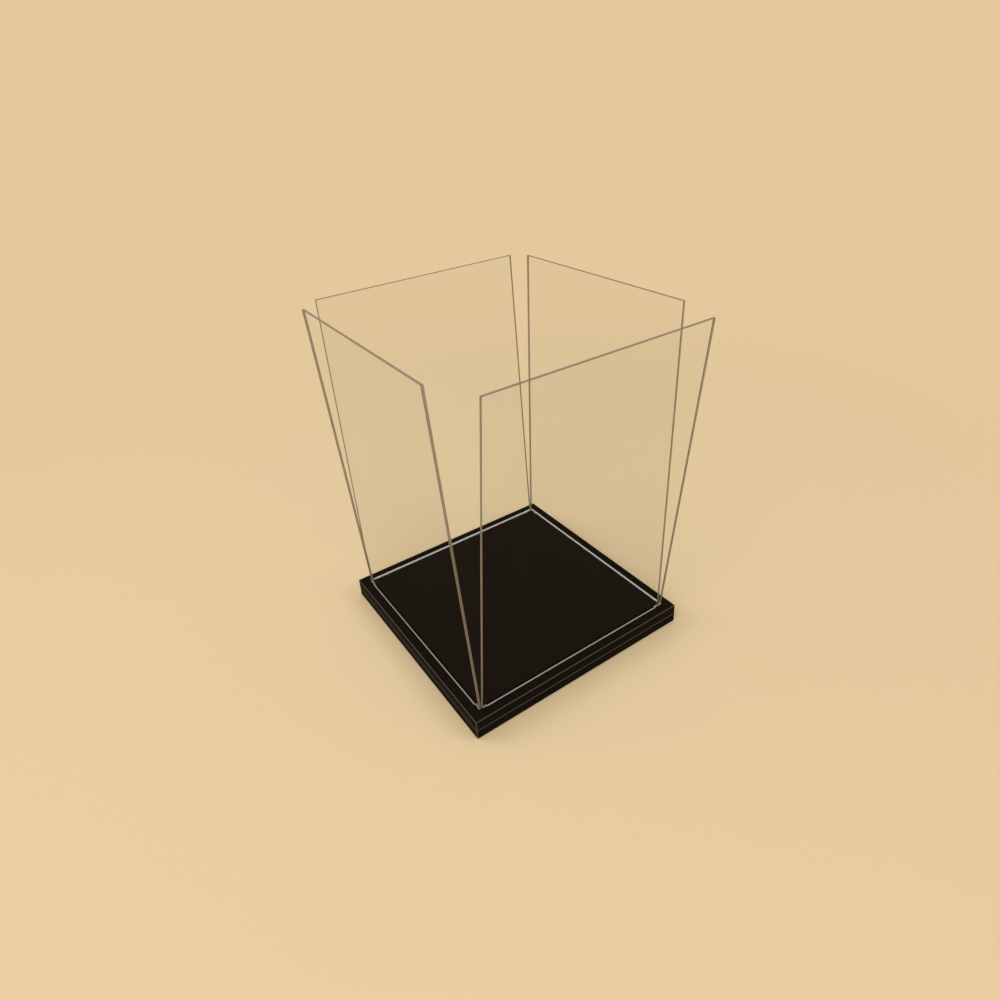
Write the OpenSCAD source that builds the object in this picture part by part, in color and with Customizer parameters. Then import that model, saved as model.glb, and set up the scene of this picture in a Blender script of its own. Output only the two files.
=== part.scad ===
// Table-top display case: a square black base of two layers, with four clear side panels that
// plug into tilting rails. It has no lid. The z = 0 plane is the surface that the case stands
// on, the origin is under the middle of the base, and the front is at -y.
// Each panel's tongue stands in the slot of a round rail. The rail lies in a U-shaped channel of
// the deck carrier, and the deck sheet and the upper frame reach over it from both sides, so
// that it can rock outwards but not lift. A felt strip under the rail holds it at any lean.
// The four panels are alike: one end of each covers its neighbour's end, and its other end stops
// against the inner face of the next panel, so that they close to a box when they stand upright.

/* [Base] */
// Outside width and depth of the square base
base_w = 200; // [180:1:260]
// Height of the upper layer, from the seam up to the deck
frame_h = 8.5; // [8.2:0.1:14]
// Height of the lower layer, from its underside up to the seam
tray_h = 8.3; // [6.5:0.1:14]
// Distance from the outside of the base in to the line that the panels stand on
border = 9.4; // [8.8:0.1:16]
// Wall of the upper frame's skirt
skirt_t = 3.6; // [2.4:0.1:4]
// Wall of the lower tray
tray_t = 2.6; // [1.6:0.1:4]
// Floor of the lower tray
floor_t = 2.2; // [1.6:0.1:3]
// Radius of the base's upright corners
corner_r = 1; // [0.5:0.1:3]
// Radius of the top and bottom outside edges
edge_r = 0.8; // [0.3:0.1:1.2]
// Size of the two chamfers that make the shadow line at the seam
seam_c = 0.4; // [0.2:0.1:0.8]

/* [Deck] */
// Thickness of the deck sheet
sheet_t = 1; // [0.6:0.1:1.2]
// Thickness of the carrier's skin below the deck sheet
skin_t = 2.5; // [1.6:0.1:3]
// Thickness of the ribs in the carrier and in the tray
rib_t = 1.4; // [1:0.1:2.4]
// Pitch of the magnets, and of the ribs that run between them
cell_pitch = 42; // [32:1:56]
// Diameter of a disc magnet
magnet_d = 10; // [6:0.5:14]
// Thickness of a disc magnet
magnet_t = 3; // [1.5:0.5:3.5]

/* [Panels] */
// Thickness of a clear panel
panel_t = 2; // [1.5:0.1:2.5]
// Height of an upright panel's top edge above the deck
panel_h = 263; // [150:1:320]
// Gap between the end of an upright panel and the face of the panel that it stops against
corner_gap = 0.3; // [0.2:0.1:0.8]
// Chamfer at the lower corners of a panel's tongue
tongue_c = 2; // [0.5:0.1:2.4]
// Furthest outward lean of a panel
max_lean_angle = 10; // [7:0.5:10]
// Lean of the front panel at rest
front_lean_angle = 6.9; // [0:0.1:7]
// Lean of the right panel at rest
right_lean_angle = 1.9; // [0:0.1:7]
// Lean of the back panel at rest
back_lean_angle = 2.8; // [0:0.1:7]
// Lean of the left panel at rest
left_lean_angle = 3.5; // [0:0.1:7]

/* [Rails] */
// Radius of a rail
rail_r = 3.2; // [3:0.1:3.4]
// Wall of the carrier between the ends of two channels that meet at a corner
corner_wall = 2.15; // [1.2:0.05:6]
// Wall of the carrier between a channel and the hollow under the deck
beam_t = 2.75; // [1.5:0.05:4]
// Depth of a rail's axis below the deck
axis_depth = 2.5; // [2.3:0.1:2.6]
// Depth of a rail's slot below its axis
slot_depth = 2; // [1.5:0.1:2.2]
// Chamfer that leads the panel into a rail's slot
slot_c = 0.4; // [0.2:0.1:0.6]
// Width of a felt drag strip
strip_w = 2; // [1.5:0.1:3]
// Thickness of a felt drag strip
strip_t = 1.3; // [0.8:0.1:1.5]

/* [Screws and pad] */
// Diameter of a screw's shank
screw_d = 2.5; // [2:0.1:3]
// Diameter of a screw's head
head_d = 4.6; // [4:0.1:5]
// Height of a screw's head
head_h = 1.7; // [1.2:0.1:2]
// Distance from the outside of the base in to the corner screws
screw_inset = 6.5; // [6:0.1:8]
// Least material left over the end of a corner screw
screw_cover = 1.8; // [1.2:0.1:2.4]
// Wall round a screw in its boss
boss_t = 1.6; // [1:0.1:2]
// Thickness of the pad under the base
pad_t = 1.5; // [1.2:0.1:2]
// How far the pad stands out below the tray
pad_proud = 0.6; // [0.5:0.1:1.1]
// Distance from the outside of the base in to the pad
pad_inset = 15; // [12:1:30]
// Radius of the pad's corners
pad_r = 8; // [2:1:14]

/* [Clearances] */
// Running gap round a rail and a panel's tongue
run_gap = 0.05; // [0.03:0.01:0.1]
// Gap round a piece that drops into another
fit_gap = 0.2; // [0.1:0.05:0.3]
// Gap between the panel and the edges of the slit in the deck
slit_gap = 0.3; // [0.2:0.05:0.5]
// Gap between a felt strip and its rail
felt_gap = 0.1; // [0.05:0.01:0.2]

/* [Hidden] */

$fn = 64;
// Extra length of a cutting solid past the face that it cuts
over = 1;

// Turns about z that bring a piece of the front side to each side
SIDES = [for (i = [0 : 3]) 90 * i];
FRONT = SIDES[0];
RIGHT = SIDES[1];
BACK = SIDES[2];
LEFT = SIDES[3];

// Heights above the surface that the case stands on
tray_z = pad_proud;
floor_z = tray_z + floor_t;
seam_z = tray_z + tray_h;
deck_z = seam_z + frame_h;
plateau_z = deck_z - sheet_t;
skin_z = plateau_z - skin_t;
axis_z = deck_z - axis_depth;

// Half widths, from the middle of the base outwards
base_half = base_w / 2;
line_half = base_half - border;
skirt_half = base_half - skirt_t;
carrier_half = skirt_half - fit_gap;
pad_half = base_half - pad_inset;

// Channel that a rail lies in, and the beam of the carrier that it is cut in
channel_r = rail_r + run_gap;
channel_len = 2 * (line_half - channel_r - corner_wall);
rail_len = channel_len - 2 * fit_gap;
beam_in = line_half - channel_r - beam_t;
strip_top = axis_z - rail_r - felt_gap;

// Slit in the deck: the deck sheet ends on its inner side and the frame on its outer side
slit_in = panel_t / 2 + slit_gap;
slit_out = axis_depth * tan(max_lean_angle) + panel_t / 2 / cos(max_lean_angle) + slit_gap;
sheet_half = line_half - slit_in;

// The flat top of a rail, over its axis, stays under the deck sheet at the furthest lean
lid_height = axis_depth - sheet_t - run_gap;
rail_top = rail_r * sin(asin(lid_height / rail_r) - max_lean_angle);
ledge_z = axis_z + rail_top + run_gap;

// A panel's shoulders meet the frame at the furthest lean and stop it there
shoulder = (axis_depth + panel_t / 2 * sin(max_lean_angle)) / cos(max_lean_angle);
panel_top = panel_h + axis_depth;
tongue_w = rail_len;
tongue_foot = run_gap - slot_depth;

// Square cells between the ribs, one magnet in each
cells = floor(2 * beam_in / cell_pitch);
magnet_spots = [for (i = [0 : cells - 1]) (i - (cells - 1) / 2) * cell_pitch];
rib_spots = [for (i = [1 : cells - 1]) (i - cells / 2) * cell_pitch];
pocket_floor = plateau_z - magnet_t - run_gap;
pocket_wall = 1;

// Screws: the corner ones hold the frame to the tray, the inner ones the carrier
screw_half = base_half - screw_inset;
inner_half = (cells / 2 - 1) * cell_pitch;
seat_z = tray_z + max(pad_t - pad_proud, 0) + head_h + fit_gap;
hole_r = screw_d / 2 + run_gap;
boss_r = head_d / 2 + fit_gap + boss_t / 2;
frame_screw_len = floor(deck_z - seat_z - screw_cover);
carrier_screw_len = floor(skin_z - seat_z);
ring_half = line_half - channel_r / 2;

// ---- shared shapes ----

// A square slab about the z axis, from z0 up to z1
module slab(half, z0, z1) {
  translate([-half, -half, z0])
    cube([2 * half, 2 * half, z1 - z0]);
}

// The outline that is cut off a corner at the origin to round it
module round_outline(r) {
  translate([-r, -r])
    difference() {
      square(r + over);
      circle(r);
    }
}

// The outline that is cut off a corner at the origin to chamfer it
module chamfer_outline(c) {
  polygon([[-c, 0], [-c, over], [over, over], [over, -c], [0, -c]]);
}

// Runs an outline along the four edges of a square at height z, upside down if below is true
module along_edges(half, z, below = false) {
  for (turn = SIDES)
    rotate([0, 0, turn])
      translate([half, 0, z])
        mirror([0, 0, below ? 1 : 0])
          rotate([90, 0, 0])
            linear_extrude(2 * half + 2 * over, center = true)
              children();
}

// Rounds the four upright corners of a square block between z0 and z1
module upright_corners(half, r, z0, z1) {
  for (turn = SIDES)
    rotate([0, 0, turn])
      translate([half, half, z0 - over])
        linear_extrude(z1 - z0 + 2 * over)
          round_outline(r);
}

// A square outline with rounded corners
module rounded_square(half, r) {
  difference() {
    square(2 * half, center = true);
    for (turn = SIDES)
      rotate(turn)
        translate([half, half])
          round_outline(r);
  }
}

// Puts one copy at each corner of a square
module at_corners(half) {
  for (x = [-half, half], y = [-half, half])
    translate([x, y, 0])
      children();
}

// Puts one copy in the middle of each cell
module at_cells() {
  for (x = magnet_spots, y = magnet_spots)
    translate([x, y, 0])
      children();
}

// Ribs both ways between the cells, half wide, from z0 up to z1
module ribs(half, z0, z1) {
  for (spot = rib_spots, turn = [0, 90])
    rotate([0, 0, turn])
      translate([spot - rib_t / 2, -half, z0])
        cube([rib_t, 2 * half, z1 - z0]);
}

// Moves a piece to the rail axis of one side: x runs along the side and -y points outwards
module at_axis(turn, lean = 0) {
  rotate([0, 0, turn])
    translate([0, -line_half, axis_z])
      rotate([lean, 0, 0])
        children();
}

// ---- base ----

// Channel of one side: round below the axis and straight above it, so the rail drops in
module channel() {
  rotate([0, 90, 0])
    cylinder(h = channel_len, r = channel_r, center = true);
  translate([-channel_len / 2, -channel_r, 0])
    cube([channel_len, 2 * channel_r, axis_depth + over]);
}

// Groove of one side for the felt strip, under the channel
module strip_groove() {
  translate([-channel_len / 2, -strip_w / 2 - run_gap, strip_top - strip_t - axis_z])
    cube([channel_len, strip_w + 2 * run_gap, strip_t + rail_r]);
}

// Black moulded border with its skirt, slits for the panels and a boss in each corner
module upper_frame() {
  color("#1a1108")
    difference() {
      union() {
        difference() {
          slab(base_half, seam_z, deck_z);
          slab(skirt_half, seam_z - over, ledge_z);
        }
        at_corners(screw_half)
          translate([0, 0, seam_z])
            cylinder(h = frame_h - edge_r, r = boss_r);
      }
      slab(sheet_half + fit_gap, ledge_z - over, deck_z + over);
      for (turn = SIDES)
        at_axis(turn)
          translate([-channel_len / 2, -slit_out, -over])
            cube([channel_len, slit_out + slit_in + fit_gap, axis_depth + 2 * over]);
      at_corners(screw_half)
        translate([0, 0, seam_z - over])
          cylinder(h = seat_z + frame_screw_len + run_gap - seam_z + over, r = hole_r);
      along_edges(base_half, deck_z)
        round_outline(edge_r);
      along_edges(base_half, seam_z, below = true)
        chamfer_outline(seam_c);
      upright_corners(base_half, corner_r, seam_z, deck_z);
    }
}

// Moulded plate that holds the deck sheet, the magnets and the rails
module deck_carrier() {
  notch_half = screw_half - boss_r - fit_gap;
  color("#221a12")
    difference() {
      union() {
        difference() {
          slab(carrier_half, seam_z, ledge_z);
          slab(beam_in, seam_z - over, skin_z);
        }
        slab(sheet_half, skin_z, plateau_z);
        ribs(beam_in + over, seam_z, skin_z + over);
        at_cells()
          translate([0, 0, pocket_floor - pocket_wall])
            cylinder(h = plateau_z - pocket_floor, r = magnet_d / 2 + fit_gap + pocket_wall);
        at_corners(inner_half)
          translate([0, 0, seam_z])
            cylinder(h = skin_z - seam_z + over, r = boss_r);
      }
      for (turn = SIDES)
        at_axis(turn) {
          channel();
          strip_groove();
        }
      for (turn = SIDES)
        rotate([0, 0, turn])
          translate([notch_half, notch_half, seam_z - over])
            cube([base_w, base_w, frame_h + 2 * over]);
      at_cells()
        translate([0, 0, pocket_floor])
          cylinder(h = magnet_t + over, r = magnet_d / 2 + run_gap);
      at_corners(inner_half)
        translate([0, 0, seam_z - over])
          cylinder(h = seat_z + carrier_screw_len + run_gap - seam_z + over, r = hole_r);
    }
}

// Thin black sheet that the exhibits stand on
module deck_sheet() {
  color("#1c140c")
    slab(sheet_half, plateau_z, deck_z);
}

// Disc magnets in the carrier, just under the deck sheet
module deck_magnets() {
  color("silver")
    at_cells()
      translate([0, 0, pocket_floor])
        cylinder(h = magnet_t, d = magnet_d);
}

// Black moulded tray that closes the base from below
module lower_tray() {
  color("#1a1108")
    difference() {
      union() {
        difference() {
          slab(base_half, tray_z, seam_z);
          slab(base_half - tray_t, floor_z, seam_z + over);
        }
        difference() {
          slab(ring_half, floor_z - over, seam_z);
          slab(ring_half - rib_t, floor_z - 2 * over, seam_z + over);
        }
        ribs(ring_half - rib_t / 2, floor_z - over, seam_z);
        at_corners(screw_half)
          translate([0, 0, floor_z - over])
            cylinder(h = seam_z - floor_z + over, r = boss_r);
        at_corners(inner_half)
          translate([0, 0, floor_z - over])
            cylinder(h = seam_z - floor_z + over, r = boss_r);
      }
      translate([0, 0, tray_z - over])
        linear_extrude(pad_t - pad_proud + over)
          rounded_square(pad_half + fit_gap, pad_r + fit_gap);
      for (half = [screw_half, inner_half])
        at_corners(half) {
          translate([0, 0, tray_z - over])
            cylinder(h = seat_z - tray_z + over, r = head_d / 2 + fit_gap);
          cylinder(h = seam_z + over, r = hole_r);
        }
      along_edges(base_half, tray_z, below = true)
        round_outline(edge_r);
      along_edges(base_half, seam_z)
        chamfer_outline(seam_c);
      upright_corners(base_half, corner_r, tray_z, seam_z);
    }
}

// Rubber pad let into the tray's underside
module base_pad() {
  color("#2b2724")
    linear_extrude(pad_t)
      rounded_square(pad_half, pad_r);
}

// Pan-head screw pointing up, with the underside of its head at z = 0
module screw(length) {
  slot_w = head_d / 6;
  difference() {
    union() {
      translate([0, 0, -head_h])
        cylinder(h = head_h, d = head_d);
      cylinder(h = length, d = screw_d);
    }
    for (turn = [0, 90])
      rotate([0, 0, turn])
        translate([-head_d / 3, -slot_w / 2, -head_h - over])
          cube([head_d / 1.5, slot_w, head_h / 2 + over]);
  }
}

// Four corner screws through the tray into the upper frame
module frame_screws() {
  color("dimgray")
    at_corners(screw_half)
      translate([0, 0, seat_z])
        screw(frame_screw_len);
}

// Four inner screws through the tray into the deck carrier
module carrier_screws() {
  color("dimgray")
    at_corners(inner_half)
      translate([0, 0, seat_z])
        screw(carrier_screw_len);
}

// ---- sides ----

// Round bead with a flat top and a slot for the panel's tongue
module rail(turn, lean) {
  slot_half = panel_t / 2 + run_gap;
  color("#14110e")
    at_axis(turn, lean)
      difference() {
        rotate([0, 90, 0])
          cylinder(h = rail_len, r = rail_r, center = true);
        translate([-rail_len / 2 - over, -rail_r - over, rail_top])
          cube([rail_len + 2 * over, 2 * (rail_r + over), rail_r]);
        rotate([90, 0, 90])
          linear_extrude(rail_len + 2 * over, center = true)
            polygon([
              [-slot_half, -slot_depth], [slot_half, -slot_depth],
              [slot_half, rail_top - slot_c], [slot_half + slot_c + over, rail_top + over],
              [-slot_half - slot_c - over, rail_top + over], [-slot_half, rail_top - slot_c]
            ]);
      }
}

// Clear panel cut square all round, with the narrower tongue that stands in the rail
module panel(turn, lean) {
  covering_end = line_half + panel_t / 2;
  stopping_end = line_half - panel_t / 2 - corner_gap;
  half = tongue_w / 2;
  color("#dfe6e8", 0.35)
    at_axis(turn, lean)
      rotate([90, 0, 0])
        linear_extrude(panel_t, center = true)
          polygon([
            [-half + tongue_c, tongue_foot], [half - tongue_c, tongue_foot],
            [half, tongue_foot + tongue_c], [half, shoulder],
            [covering_end, shoulder], [covering_end, panel_top],
            [-stopping_end, panel_top], [-stopping_end, shoulder],
            [-half, shoulder], [-half, tongue_foot + tongue_c]
          ]);
}

// Felt strip in its groove under the rail
module drag_strip(turn) {
  color("#3a3632")
    at_axis(turn)
      translate([-rail_len / 2, -strip_w / 2, strip_top - strip_t - axis_z])
        cube([rail_len, strip_w, strip_t]);
}

module rail_front() rail(FRONT, front_lean_angle);
module rail_right() rail(RIGHT, right_lean_angle);
module rail_back() rail(BACK, back_lean_angle);
module rail_left() rail(LEFT, left_lean_angle);

module panel_front() panel(FRONT, front_lean_angle);
module panel_right() panel(RIGHT, right_lean_angle);
module panel_back() panel(BACK, back_lean_angle);
module panel_left() panel(LEFT, left_lean_angle);

module drag_strip_front() drag_strip(FRONT);
module drag_strip_right() drag_strip(RIGHT);
module drag_strip_back() drag_strip(BACK);
module drag_strip_left() drag_strip(LEFT);

upper_frame();
deck_carrier();
deck_sheet();
deck_magnets();
lower_tray();
base_pad();
frame_screws();
carrier_screws();
rail_front();
rail_right();
rail_back();
rail_left();
panel_front();
panel_right();
panel_back();
panel_left();
drag_strip_front();
drag_strip_right();
drag_strip_back();
drag_strip_left();
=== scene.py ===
"""Looks of the open-topped display case: finishes, light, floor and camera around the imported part."""

import math

import bpy
from mathutils import Matrix, Vector


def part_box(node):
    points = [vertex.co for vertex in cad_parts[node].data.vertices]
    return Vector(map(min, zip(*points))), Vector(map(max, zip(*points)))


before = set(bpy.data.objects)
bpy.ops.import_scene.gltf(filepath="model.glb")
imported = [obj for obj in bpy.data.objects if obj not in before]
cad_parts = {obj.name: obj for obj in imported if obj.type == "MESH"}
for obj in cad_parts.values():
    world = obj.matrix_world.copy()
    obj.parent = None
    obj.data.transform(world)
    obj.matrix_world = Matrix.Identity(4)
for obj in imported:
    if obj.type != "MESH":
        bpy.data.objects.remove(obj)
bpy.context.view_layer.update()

MM = 0.001
DECK_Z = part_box("deck_sheet")[1][2]
# Distance from the middle of the case out to the line that the panels stand on
LINE = -sum(corner[1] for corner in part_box("rail_front")) / 2

# Reach, above and below the deck, of the sanded band across a panel's outer face
BAND = 1.0 * MM
# Width of the scraped arrises of a panel
ARRIS = 0.35 * MM
# Share of the light that each broad face of a panel takes up
TINT = 0.015
# Slant past which a panel mirrors, where 0 is head on and 1 is edge on, and its mirroring edge on
GLANCE = 0.8
GLANCE_MIRROR = 0.35
# How nearly a face's normal lies along a panel's thin axis, if it is one of the broad faces
BROAD = 0.9


# ---- small helpers ----

def linear(hex_colour):
    """An sRGB hex value as the linear RGBA that the shaders take."""
    channels = [int(hex_colour[i:i + 2], 16) / 255 for i in (1, 3, 5)]
    return [c / 12.92 if c <= 0.04045 else ((c + 0.055) / 1.055) ** 2.4 for c in channels] + [1.0]


def add(tree, kind, inputs=None, **settings):
    """Adds a node. inputs maps a socket's name or number to a value, or to the socket that feeds it."""
    node = tree.nodes.new(kind)
    for name, value in settings.items():
        setattr(node, name, value)
    for key, value in (inputs or {}).items():
        if isinstance(value, bpy.types.NodeSocket):
            tree.links.new(value, node.inputs[key])
        else:
            node.inputs[key].default_value = value
    return node


def new_material(name):
    """An empty node material, its tree, and its output node."""
    material = bpy.data.materials.new(name)
    material.use_nodes = True
    tree = material.node_tree
    tree.nodes.clear()
    return material, tree, tree.nodes.new("ShaderNodeOutputMaterial")


def along_axis(tree, vector, axes):
    """A vector's greatest reach along the named axes. A normal gives 1 on one, 0.7 half way between two."""
    parts = add(tree, "ShaderNodeSeparateXYZ", {0: vector})
    nearest = 0.0
    for axis in axes:
        size = add(tree, "ShaderNodeMath", {0: parts.outputs[axis]}, operation="ABSOLUTE").outputs[0]
        nearest = add(tree, "ShaderNodeMath", {0: size, 1: nearest}, operation="MAXIMUM").outputs[0]
    return nearest


def dress(node_name, material):
    """Gives a CAD node its finish."""
    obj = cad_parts[node_name]
    if not obj.material_slots:
        obj.data.materials.append(material)
    for slot in obj.material_slots:
        slot.material = material
    return obj


def soften_edges(obj, width, segments=2, angle=30, finish=None):
    """Breaks the sharp edges of a CAD node, as a mould or a file leaves them, with a finish of their own."""
    weld = obj.modifiers.new("weld", "WELD")
    weld.merge_threshold = 0.002 * MM
    bevel = obj.modifiers.new("edges", "BEVEL")
    bevel.width = width
    bevel.segments = segments
    bevel.limit_method = "ANGLE"
    bevel.angle_limit = math.radians(angle)
    bevel.use_clamp_overlap = True
    if finish:
        obj.data.materials.append(finish)
        bevel.material = len(obj.material_slots) - 1
    normals = obj.modifiers.new("normals", "WEIGHTED_NORMAL")
    normals.keep_sharp = True


# ---- finishes ----

def moulded_abs():
    """Black ABS from a spark-eroded mould: an even matt grain, with rounds and chamfers burnished and
    painted grey as a highlight.
    """
    material, tree, out = new_material("spark_textured_abs")
    coords = add(tree, "ShaderNodeTexCoord")
    # The grain of the mould is about 0.1 mm, drawn at 0.5 mm so that it shows
    grain = add(tree, "ShaderNodeTexNoise", {"Vector": coords.outputs["Object"],
                                             "Scale": 1 / (0.5 * MM), "Detail": 2.0})
    flow = add(tree, "ShaderNodeTexNoise", {"Vector": coords.outputs["Object"],
                                            "Scale": 1 / (25 * MM), "Detail": 3.0})
    # A surface that leans away from the three axes is a round or a chamfer, where the grain wears off and a
    # grey highlight line is painted
    burnish_and_highlight = add(tree, "ShaderNodeMapRange", {"Value": along_axis(tree, coords.outputs["Normal"], "XYZ"),
                                            "From Min": 0.98, "From Max": 0.85})
    # The grey on rounds and chamfers is a painted highlight along the edges; only their lower roughness is
    # real burnish
    colour = add(tree, "ShaderNodeMix", {"Factor": burnish_and_highlight.outputs["Result"], "A": linear("#0e0905"),
                                         "B": linear("#524c43")}, data_type="RGBA")
    sheen = add(tree, "ShaderNodeMapRange", {"Value": flow.outputs["Fac"], "From Min": 0.3,
                                             "From Max": 0.7, "To Min": 0.82, "To Max": 0.88})
    roughness = add(tree, "ShaderNodeMix", {"Factor": burnish_and_highlight.outputs["Result"],
                                            "A": sheen.outputs["Result"], "B": 0.4})
    relief = add(tree, "ShaderNodeBump", {"Height": grain.outputs["Fac"], "Strength": 0.1,
                                          "Distance": 0.02 * MM})
    surface = add(tree, "ShaderNodeBsdfPrincipled",
                  {"Base Color": colour.outputs["Result"], "Roughness": roughness.outputs["Result"],
                   "Normal": relief.outputs["Normal"], "IOR": 1.53, "Specular IOR Level": 0.08})
    tree.links.new(surface.outputs["BSDF"], out.inputs["Surface"])
    return material


def calendered_sheet():
    """Black sheet rolled with a fine sand grain: a soft, slightly broken sheen."""
    material, tree, out = new_material("calendered_black_sheet")
    coords = add(tree, "ShaderNodeTexCoord").outputs["Object"]
    # Grains of about 0.2 mm, drawn at 3 mm so that they show
    grain = add(tree, "ShaderNodeTexNoise", {"Vector": coords, "Scale": 1 / (3 * MM), "Detail": 1.0})
    cloud = add(tree, "ShaderNodeTexNoise", {"Vector": coords, "Scale": 1 / (60 * MM), "Detail": 4.0})
    colour = add(tree, "ShaderNodeMix", {"Factor": cloud.outputs["Fac"], "A": linear("#0d0905"),
                                         "B": linear("#130e09")}, data_type="RGBA")
    sheen = add(tree, "ShaderNodeMapRange", {"Value": cloud.outputs["Fac"], "From Min": 0.3,
                                             "From Max": 0.7, "To Min": 0.64, "To Max": 0.72})
    relief = add(tree, "ShaderNodeBump", {"Height": grain.outputs["Fac"], "Strength": 0.1,
                                          "Distance": 0.06 * MM})
    surface = add(tree, "ShaderNodeBsdfPrincipled",
                  {"Base Color": colour.outputs["Result"], "Roughness": sheen.outputs["Result"],
                   "Normal": relief.outputs["Normal"], "IOR": 1.52, "Specular IOR Level": 0.08})
    tree.links.new(surface.outputs["BSDF"], out.inputs["Surface"])
    return material


def extruded_abs(along):
    """Black ABS drawn through a die: half gloss, with faint lines that run along the rail."""
    material, tree, out = new_material(f"extruded_abs_along_{along}")
    coords = add(tree, "ShaderNodeTexCoord").outputs["Object"]
    # Die lines are about 0.3 mm apart and run unbroken for 100 mm
    stretch = [1 / (100 * MM) if name == along else 1 / (0.3 * MM) for name in "xyz"]
    drawn = add(tree, "ShaderNodeVectorMath", {0: coords, 1: stretch}, operation="MULTIPLY")
    lines = add(tree, "ShaderNodeTexNoise", {"Vector": drawn.outputs["Vector"], "Scale": 1.0,
                                             "Detail": 2.0})
    sheen = add(tree, "ShaderNodeMapRange", {"Value": lines.outputs["Fac"], "To Min": 0.3, "To Max": 0.42})
    relief = add(tree, "ShaderNodeBump", {"Height": lines.outputs["Fac"], "Strength": 0.2,
                                          "Distance": 0.02 * MM})
    surface = add(tree, "ShaderNodeBsdfPrincipled",
                  {"Base Color": linear("#0f0b08"), "Roughness": sheen.outputs["Result"],
                   "Normal": relief.outputs["Normal"], "IOR": 1.53, "Specular IOR Level": 0.3})
    tree.links.new(surface.outputs["BSDF"], out.inputs["Surface"])
    return material


def sawn_acrylic(tree, coords):
    """Acrylic as the saw or the scraper leaves it: greyish and matt, with faint marks."""
    # Saw marks stand across the edge, about 0.8 mm apart
    marks = add(tree, "ShaderNodeTexNoise", {"Vector": coords.outputs["Object"],
                                             "Scale": 1 / (0.8 * MM), "Detail": 2.0})
    tone = add(tree, "ShaderNodeMix", {"Factor": marks.outputs["Fac"], "A": linear("#726757"),
                                       "B": linear("#918577")}, data_type="RGBA")
    return add(tree, "ShaderNodeBsdfPrincipled", {"Base Color": tone.outputs["Result"],
                                                  "Roughness": 0.5, "IOR": 1.49})


def sanded_acrylic(tree):
    """Acrylic rubbed to a pale matt."""
    return add(tree, "ShaderNodeBsdfPrincipled", {"Base Color": linear("#fbf4e8"), "Roughness": 0.6,
                                                  "IOR": 1.49})


def beside_deck(tree, coords, across):
    """Two masks: 1 where a panel stands out of the deck, and 1 on the outer half of that."""
    height = add(tree, "ShaderNodeSeparateXYZ", {0: coords.outputs["Object"]}).outputs["Z"]
    near = add(tree, "ShaderNodeMath", {0: height, 1: DECK_Z, 2: BAND}, operation="COMPARE")
    outer = add(tree, "ShaderNodeMath", {0: along_axis(tree, coords.outputs["Object"], across), 1: LINE},
                operation="GREATER_THAN")
    both = add(tree, "ShaderNodeMath", {0: near.outputs[0], 1: outer.outputs[0]}, operation="MULTIPLY")
    return near.outputs[0], both.outputs[0]


def scraped_arris(across):
    """The narrow scraped corners of an acrylic sheet: matt, with the outer band that the sheet has."""
    material, tree, out = new_material(f"scraped_acrylic_{across.lower()}")
    coords = add(tree, "ShaderNodeTexCoord")
    near, band = beside_deck(tree, coords, across)
    cut = sawn_acrylic(tree, coords)
    outer = add(tree, "ShaderNodeMixShader", {0: band, 1: cut.outputs["BSDF"],
                                              2: sanded_acrylic(tree).outputs["BSDF"]})
    # The inner corner is polished off where it meets the deck
    inner = add(tree, "ShaderNodeMath", {0: near, 1: band}, operation="SUBTRACT")
    clear = add(tree, "ShaderNodeBsdfTransparent", {"Color": linear("#fefefe")})
    corner = add(tree, "ShaderNodeMixShader", {0: inner.outputs[0], 1: outer.outputs["Shader"],
                                               2: clear.outputs["BSDF"]})
    tree.links.new(corner.outputs["Shader"], out.inputs["Surface"])
    return material


def cast_acrylic(across):
    """Clear cast acrylic sheet, thin along one axis: clear broad faces, and sawn edges that show."""
    material, tree, out = new_material(f"clear_cast_acrylic_{across.lower()}")
    coords = add(tree, "ShaderNodeTexCoord")
    slant = add(tree, "ShaderNodeLayerWeight", {"Blend": 0.5}).outputs["Facing"]
    clear = add(tree, "ShaderNodeBsdfTransparent", {"Color": linear("#fefefe")})
    # The sheet is too thin to bend what is seen through it, and each face takes up a little light
    shade = add(tree, "ShaderNodeBsdfDiffuse", {"Color": linear("#000000")})
    tinted = add(tree, "ShaderNodeMixShader", {0: TINT, 1: clear.outputs["BSDF"],
                                               2: shade.outputs["BSDF"]})
    # It mirrors at a glance only, because the photograph shows no pale floor in the panels
    glance = add(tree, "ShaderNodeMapRange", {"Value": slant, "From Min": GLANCE, "From Max": 1.0,
                                              "To Min": 0.0, "To Max": GLANCE_MIRROR})
    gloss = add(tree, "ShaderNodeBsdfGlossy", {"Color": linear("#ffffff"), "Roughness": 0.0})
    face = add(tree, "ShaderNodeMixShader", {0: glance.outputs["Result"], 1: tinted.outputs["Shader"],
                                             2: gloss.outputs["BSDF"]})

    # Seen square on, some light still comes through a sawn edge
    dense = add(tree, "ShaderNodeMapRange", {"Value": slant, "To Min": 0.75, "To Max": 1.0})
    cut = sawn_acrylic(tree, coords)
    edge = add(tree, "ShaderNodeMixShader", {0: dense.outputs["Result"], 1: clear.outputs["BSDF"],
                                             2: cut.outputs["BSDF"]})
    broad = add(tree, "ShaderNodeMath", {0: along_axis(tree, coords.outputs["Normal"], across), 1: BROAD},
                operation="GREATER_THAN")
    sheet = add(tree, "ShaderNodeMixShader", {0: broad.outputs[0], 1: edge.outputs["Shader"],
                                              2: face.outputs["Shader"]})

    # The outer face has a sanded band where it stands out of the deck
    band = beside_deck(tree, coords, across)[1]
    sanded = add(tree, "ShaderNodeMath", {0: band, 1: broad.outputs[0]}, operation="MULTIPLY")
    whole = add(tree, "ShaderNodeMixShader", {0: sanded.outputs[0], 1: sheet.outputs["Shader"],
                                              2: sanded_acrylic(tree).outputs["BSDF"]})
    tree.links.new(whole.outputs["Shader"], out.inputs["Surface"])
    return material


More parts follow.
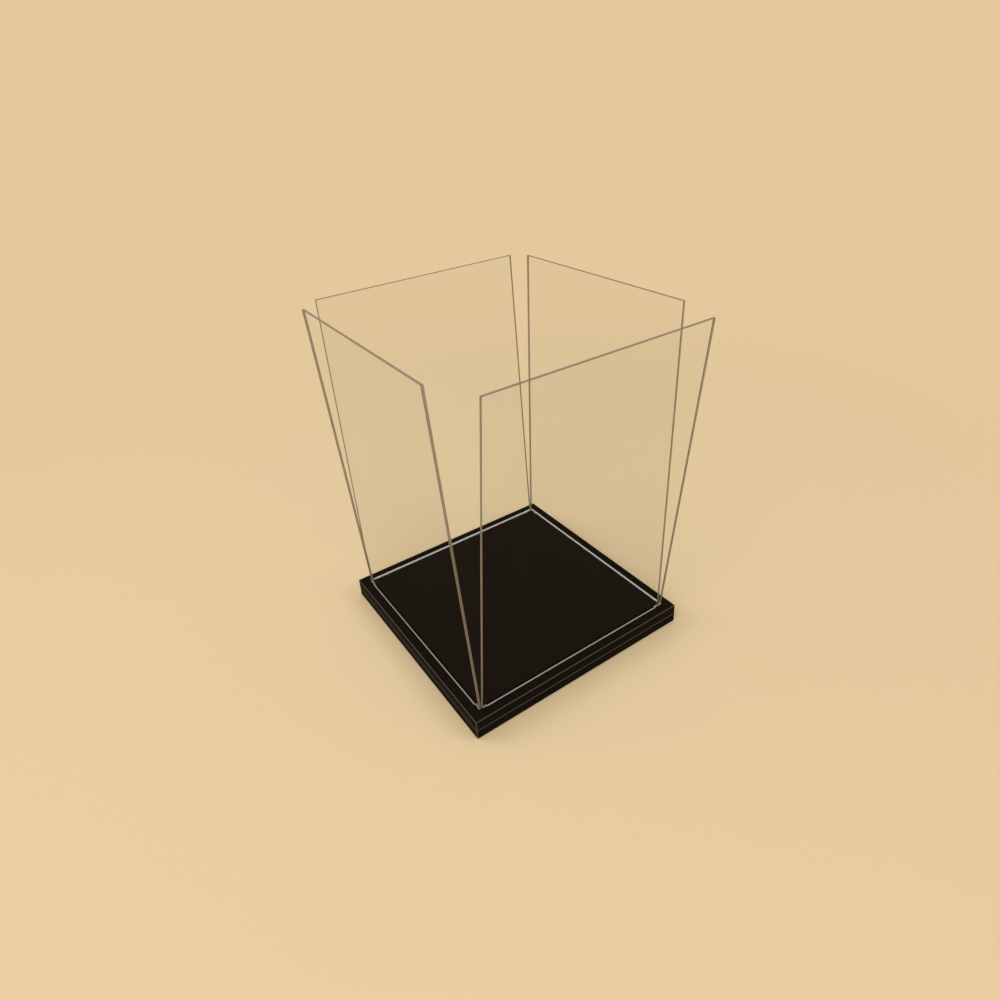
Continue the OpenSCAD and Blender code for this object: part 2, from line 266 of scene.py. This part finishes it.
def foam_rubber():
    """Black closed-cell foam rubber: dull, with fine open pores on its cut face."""
    material, tree, out = new_material("closed_cell_foam_rubber")
    coords = add(tree, "ShaderNodeTexCoord").outputs["Object"]
    pores = add(tree, "ShaderNodeTexVoronoi", {"Vector": coords, "Scale": 1 / (0.9 * MM)})
    # Each pore is painted darker towards its middle, where the bump sinks it: painted shade in the hollows
    colour = add(tree, "ShaderNodeMix", {"Factor": pores.outputs["Distance"], "A": linear("#191716"),
                                         "B": linear("#2f2c2a")}, data_type="RGBA")
    relief = add(tree, "ShaderNodeBump", {"Height": pores.outputs["Distance"], "Strength": 0.5,
                                          "Distance": 0.15 * MM})
    surface = add(tree, "ShaderNodeBsdfPrincipled",
                  {"Base Color": colour.outputs["Result"], "Normal": relief.outputs["Normal"],
                   "Roughness": 0.88, "IOR": 1.5, "Specular IOR Level": 0.3})
    tree.links.new(surface.outputs["BSDF"], out.inputs["Surface"])
    return material


def pressed_felt():
    """Grey wool felt: matt, with short fibres that catch the light at its edges."""
    material, tree, out = new_material("pressed_wool_felt")
    coords = add(tree, "ShaderNodeTexCoord").outputs["Object"]
    fibres = add(tree, "ShaderNodeTexNoise", {"Vector": coords, "Scale": 1 / (0.25 * MM), "Detail": 5.0,
                                              "Distortion": 1.5})
    colour = add(tree, "ShaderNodeMix", {"Factor": fibres.outputs["Fac"], "A": linear("#2c2926"),
                                         "B": linear("#55504a")}, data_type="RGBA")
    relief = add(tree, "ShaderNodeBump", {"Height": fibres.outputs["Fac"], "Strength": 0.7,
                                          "Distance": 0.15 * MM})
    surface = add(tree, "ShaderNodeBsdfPrincipled",
                  {"Base Color": colour.outputs["Result"], "Normal": relief.outputs["Normal"],
                   "Roughness": 0.95, "Sheen Weight": 0.3, "Sheen Roughness": 0.6,
                   "Specular IOR Level": 0.2})
    tree.links.new(surface.outputs["BSDF"], out.inputs["Surface"])
    return material


def metal(name, dark, light, roughness, patch):
    """Bare or plated metal with a gloss that wanders a little over patches of the given size."""
    material, tree, out = new_material(name)
    coords = add(tree, "ShaderNodeTexCoord").outputs["Object"]
    haze = add(tree, "ShaderNodeTexNoise", {"Vector": coords, "Scale": 1 / patch, "Detail": 3.0})
    colour = add(tree, "ShaderNodeMix", {"Factor": haze.outputs["Fac"], "A": linear(dark),
                                         "B": linear(light)}, data_type="RGBA")
    gloss = add(tree, "ShaderNodeMapRange", {"Value": haze.outputs["Fac"], "To Min": roughness - 0.08,
                                             "To Max": roughness + 0.08})
    surface = add(tree, "ShaderNodeBsdfPrincipled",
                  {"Base Color": colour.outputs["Result"], "Roughness": gloss.outputs["Result"],
                   "Metallic": 1.0})
    tree.links.new(surface.outputs["BSDF"], out.inputs["Surface"])
    return material


moulded = moulded_abs()
for part in ("upper_frame", "lower_tray", "deck_carrier"):
    soften_edges(dress(part, moulded), 0.25 * MM)
soften_edges(dress("deck_sheet", calendered_sheet()), 0.15 * MM)
dress("base_pad", foam_rubber())
# Nickel plate on a disc magnet is bright and a little warm
dress("deck_magnets", metal("nickel_plate", "#bdb6aa", "#d9d3c8", 0.2, 3 * MM))
# Black oxide on a steel screw leaves a dark, half-dull metal
blackened = metal("blackened_steel", "#2a292b", "#454446", 0.38, 1.5 * MM)
for part in ("frame_screws", "carrier_screws"):
    dress(part, blackened)
felt = pressed_felt()
for sides, along, across in ((("front", "back"), "x", "Y"), (("left", "right"), "y", "X")):
    extruded, acrylic, arris = extruded_abs(along), cast_acrylic(across), scraped_arris(across)
    for side in sides:
        dress(f"rail_{side}", extruded)
        dress(f"drag_strip_{side}", felt)
        soften_edges(dress(f"panel_{side}", acrylic), ARRIS, segments=1, finish=arris)


# ---- floor, light and camera ----

# The floor as it looks under these lamps, which the backdrop carries on
BACKDROP = "#e4c99c"
# Distances from the case, in metres, over which the floor turns into the backdrop
FLOOR_FADE = (0.3, 0.9)


def seen_directly(tree):
    """A socket that is 1 for what the camera sees, by itself, in a mirror or through a clear sheet."""
    path = add(tree, "ShaderNodeLightPath").outputs
    mirrored = add(tree, "ShaderNodeMath", {0: path["Is Glossy Ray"], 1: path["Is Transmission Ray"]},
                   operation="MAXIMUM")
    either = add(tree, "ShaderNodeMath", {0: path["Is Camera Ray"], 1: mirrored.outputs[0]},
                 operation="MAXIMUM")
    return either.outputs[0]


def plain_floor():
    """Matt card round the case, which takes its shadow and turns into the even backdrop further out."""
    material, tree, out = new_material("matt_card_floor")
    card = add(tree, "ShaderNodeBsdfPrincipled", {"Base Color": linear("#ebd2a7"), "Roughness": 0.9,
                                                  "Specular IOR Level": 0.1})
    even = add(tree, "ShaderNodeEmission", {"Color": linear(BACKDROP), "Strength": 1.0})
    coords = add(tree, "ShaderNodeTexCoord").outputs["Object"]
    distance = add(tree, "ShaderNodeVectorMath", {0: coords}, operation="LENGTH")
    away = add(tree, "ShaderNodeMapRange", {"Value": distance.outputs["Value"],
                                            "From Min": FLOOR_FADE[0], "From Max": FLOOR_FADE[1],
                                            "To Min": 0.0, "To Max": 1.0},
               interpolation_type="SMOOTHSTEP")
    share = add(tree, "ShaderNodeMath", {0: away.outputs["Result"], 1: seen_directly(tree)},
                operation="MULTIPLY")
    mix = add(tree, "ShaderNodeMixShader", {0: share.outputs[0], 1: card.outputs["BSDF"],
                                            2: even.outputs["Emission"]})
    tree.links.new(mix.outputs["Shader"], out.inputs["Surface"])
    return material


def studio_floor(radius=4.0, segments=96):
    """A round flat floor under the case."""
    ring = [(radius * math.cos(math.tau * k / segments), radius * math.sin(math.tau * k / segments), 0.0)
            for k in range(segments)]
    mesh = bpy.data.meshes.new("studio_floor")
    mesh.from_pydata(ring, [], [range(segments)])
    floor = bpy.data.objects.new("studio_floor", mesh)
    bpy.context.scene.collection.objects.link(floor)
    mesh.materials.append(plain_floor())


def softbox(name, place, size, power, target=(0, 0, 0.1)):
    """A square area lamp that faces the case."""
    lamp = bpy.data.lights.new(name, "AREA")
    lamp.shape = "SQUARE"
    lamp.size = size
    lamp.energy = power
    obj = bpy.data.objects.new(name, lamp)
    obj.location = place
    obj.rotation_mode = "QUATERNION"
    obj.rotation_quaternion = (Vector(target) - Vector(place)).to_track_quat("-Z", "Y")
    obj.visible_camera = False
    bpy.context.scene.collection.objects.link(obj)


def daylight(strength):
    """Even light from all round, seen directly as the same pale backdrop as the floor."""
    world = bpy.data.worlds.new("soft_daylight")
    world.use_nodes = True
    tree = world.node_tree
    tree.nodes.clear()
    light = add(tree, "ShaderNodeBackground", {"Color": linear("#fffaf2"), "Strength": strength})
    even = add(tree, "ShaderNodeBackground", {"Color": linear(BACKDROP), "Strength": 1.0})
    mix = add(tree, "ShaderNodeMixShader", {0: seen_directly(tree), 1: light.outputs[0],
                                            2: even.outputs[0]})
    out = add(tree, "ShaderNodeOutputWorld")
    tree.links.new(mix.outputs["Shader"], out.inputs["Surface"])
    bpy.context.scene.world = world


def photo_camera():
    """The camera at the photograph's viewing angle, fitted to 22 of the case's corners."""
    place = Vector((-0.2657, -0.4145, 0.4361))
    heading, down, roll = math.radians(32.53), math.radians(27.77), math.radians(3.78)
    focal_px, frame_px = 715.9, 1000
    centre_px = (498.3, 432.1)
    look = Vector((math.sin(heading) * math.cos(down), math.cos(heading) * math.cos(down), -math.sin(down)))
    level_right = look.cross(Vector((0, 0, 1))).normalized()
    level_up = level_right.cross(look)
    right = level_right * math.cos(roll) - level_up * math.sin(roll)
    up = right.cross(look)
    data = bpy.data.cameras.new("photo_camera")
    data.sensor_width = 36
    data.lens = focal_px / frame_px * data.sensor_width
    data.shift_x = (frame_px / 2 - centre_px[0]) / frame_px
    data.shift_y = (centre_px[1] - frame_px / 2) / frame_px
    data.clip_start, data.clip_end = 0.01, 50
    camera = bpy.data.objects.new("photo_camera", data)
    camera.matrix_world = Matrix.Translation(place) @ Matrix((right, up, -look)).transposed().to_4x4()
    bpy.context.scene.collection.objects.link(camera)
    bpy.context.scene.camera = camera


studio_floor()
softbox("key_softbox", (-1.8, -1.4, 3.2), 2.0, 56)
softbox("rim_softbox", (-2.2, 2.0, 1.8), 1.6, 24)
softbox("fill_softbox", (1.8, -2.4, 2.4), 1.6, 20)
daylight(0.5)
photo_camera()
bpy.context.scene.view_settings.view_transform = "Standard"
